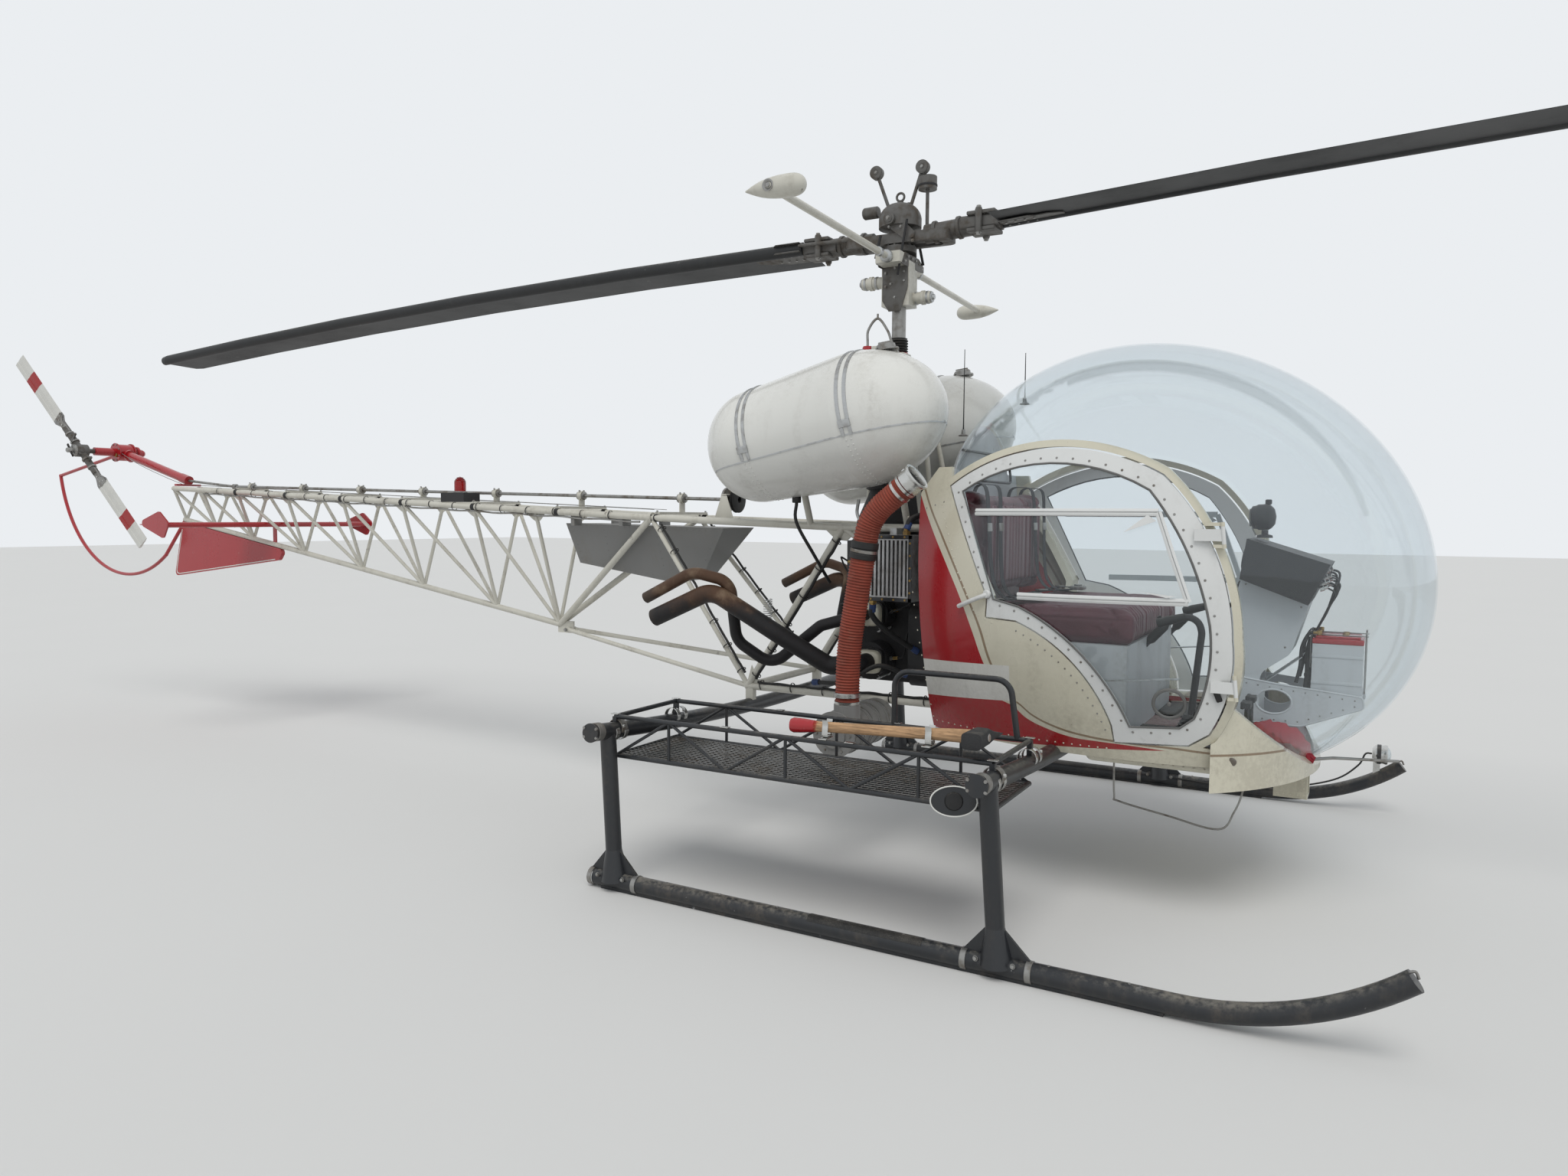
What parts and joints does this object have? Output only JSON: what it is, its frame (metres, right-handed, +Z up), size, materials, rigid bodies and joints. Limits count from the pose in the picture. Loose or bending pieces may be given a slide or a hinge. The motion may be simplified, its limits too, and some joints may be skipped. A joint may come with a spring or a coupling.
{
  "type": "light helicopter",
  "caption": "Light three-seat helicopter with a bubble canopy, open truss tail boom, two-blade rotor and high skid gear.",
  "frame": {"origin": "middle of the footprint, on the ground under the skids", "axes": "+X forward to the nose, +Y to the left, +Z up"},
  "size_m": [12.6785, 2.9622, 3.041],
  "materials": {
    "aluminium": "brushed",
    "beacon_red": "gloss",
    "black_blade": "matt",
    "black_paint": "satin",
    "black_plastic": "matt",
    "burgundy_vinyl": "satin",
    "cast_metal": "rough",
    "clear_acrylic": "clear",
    "cream_red_paint": "gloss",
    "floor_paint": "satin",
    "grey_paint": "satin",
    "handle_wood": "oiled",
    "heated_steel": "heat stained",
    "lamp": "polished",
    "red_hose": "matt",
    "red_paint": "gloss",
    "steel": "satin",
    "white_paint": "gloss"
  },
  "bodies": {
    "airframe": {"accessory_case": "black_paint", "battery_box": "grey_paint", "beacon": "beacon_red", "beacon_box": "black_plastic", "belly_pan": "cream_red_paint", "blower": "grey_paint", "boom_box": "grey_paint", "cabin_floor": "floor_paint", "cabin_nose": "cream_red_paint", "cabin_side_left": "cream_red_paint", "cabin_side_right": "cream_red_paint", "canopy": "clear_acrylic", "cargo_rack": "black_paint", "centre_frame": "white_paint", "console": "floor_paint", "cross_tubes": "black_paint", "drive_shaft": "steel", "engine_block": "cast_metal", "engine_cylinders": "cast_metal", "exhaust_left": "heated_steel", "exhaust_right": "heated_steel", "flight_controls": "black_paint", "fuel_tank_left": "white_paint", "fuel_tank_right": "white_paint", "gear_legs": "black_paint", "instrument_panel": "black_plastic", "intake_duct": "red_hose", "landing_light": "lamp", "nose_shelf": "floor_paint", "oil_cooler": "aluminium", "rack_axe": "handle_wood", "rack_hoop": "black_paint", "rear_bulkhead": "cream_red_paint", "seat_back": "burgundy_vinyl", "seat_base": "floor_paint", "seat_cushion": "burgundy_vinyl", "shaft_hangers": "white_paint", "skid_left": "black_paint", "skid_right": "black_paint", "stabilizer": "red_paint", "tail_boom": "white_paint", "tail_fin": "red_paint", "tail_gearbox": "red_paint", "tail_guard": "red_paint", "transmission": "cast_metal"},
    "main_rotor": {"rotor_mast": "steel", "rotor_head": "steel", "stabilizer_bar": "aluminium", "main_blade_front": "black_blade", "main_blade_rear": "black_blade"},
    "tail_rotor": {"tail_hub": "steel", "tail_blades": "white_paint"},
    "left_door": {"door_left": "white_paint", "door_window_left": "clear_acrylic"},
    "right_door": {"door_right": "white_paint", "door_window_right": "clear_acrylic"}
  },
  "joints": [
    {"name": "main_rotor_spin", "type": "hinge", "parent": "airframe", "child": "main_rotor", "pos_m": [0.98514, 0, 2.3], "axis": [0, 0, 1], "continuous": true},
    {"name": "tail_rotor_spin", "type": "hinge", "parent": "airframe", "child": "tail_rotor", "pos_m": [-5.41486, -0.3, 1.89], "axis": [0, 1, 0], "continuous": true},
    {"name": "left_door_swing", "type": "hinge", "parent": "airframe", "child": "left_door", "pos_m": [2.54114, 0.712, 0.87], "axis": [-0.0965, 0.0502, 0.9941], "range_deg": [-95, 0]},
    {"name": "right_door_swing", "type": "hinge", "parent": "airframe", "child": "right_door", "pos_m": [2.54114, -0.712, 0.87], "axis": [-0.0965, -0.0502, 0.9941], "range_deg": [0, 95]}
  ]
}
